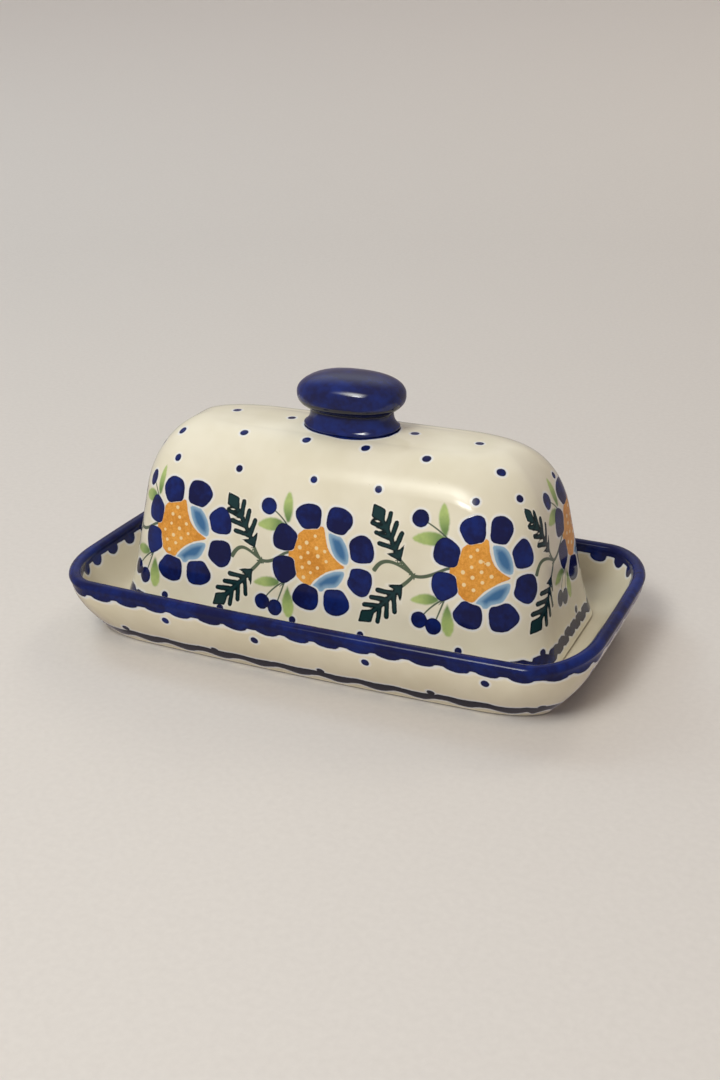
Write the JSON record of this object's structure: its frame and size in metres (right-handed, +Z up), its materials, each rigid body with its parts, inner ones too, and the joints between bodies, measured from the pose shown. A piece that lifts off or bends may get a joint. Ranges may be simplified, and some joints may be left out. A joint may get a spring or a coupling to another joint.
{
  "type": "butter dish",
  "caption": "Oblong glazed stoneware butter dish: a shallow tray with a rolled rim, and a loaf-shaped cover with an oblong knob that lifts off.",
  "frame": {"origin": "centre of the object's footprint on the table", "axes": "+X along the dish's length, +Y across it towards the back, +Z up"},
  "size_m": [0.1968, 0.1078, 0.0943],
  "materials": {
    "tray_glaze": "clear gloss glaze over a cream body, with blue painted bands",
    "lid_glaze": "clear gloss glaze over a cream body, with painted flowers",
    "knob_glaze": "cobalt blue gloss glaze"
  },
  "bodies": {
    "tray": {"tray": "tray_glaze"},
    "lid": {"lid_shell": "lid_glaze", "lid_knob": "knob_glaze"}
  },
  "joints": [
    {"name": "lid_lift", "type": "slide", "parent": "tray", "child": "lid", "axis": [0, 0, 1], "range_m": [0, 0.1]}
  ]
}
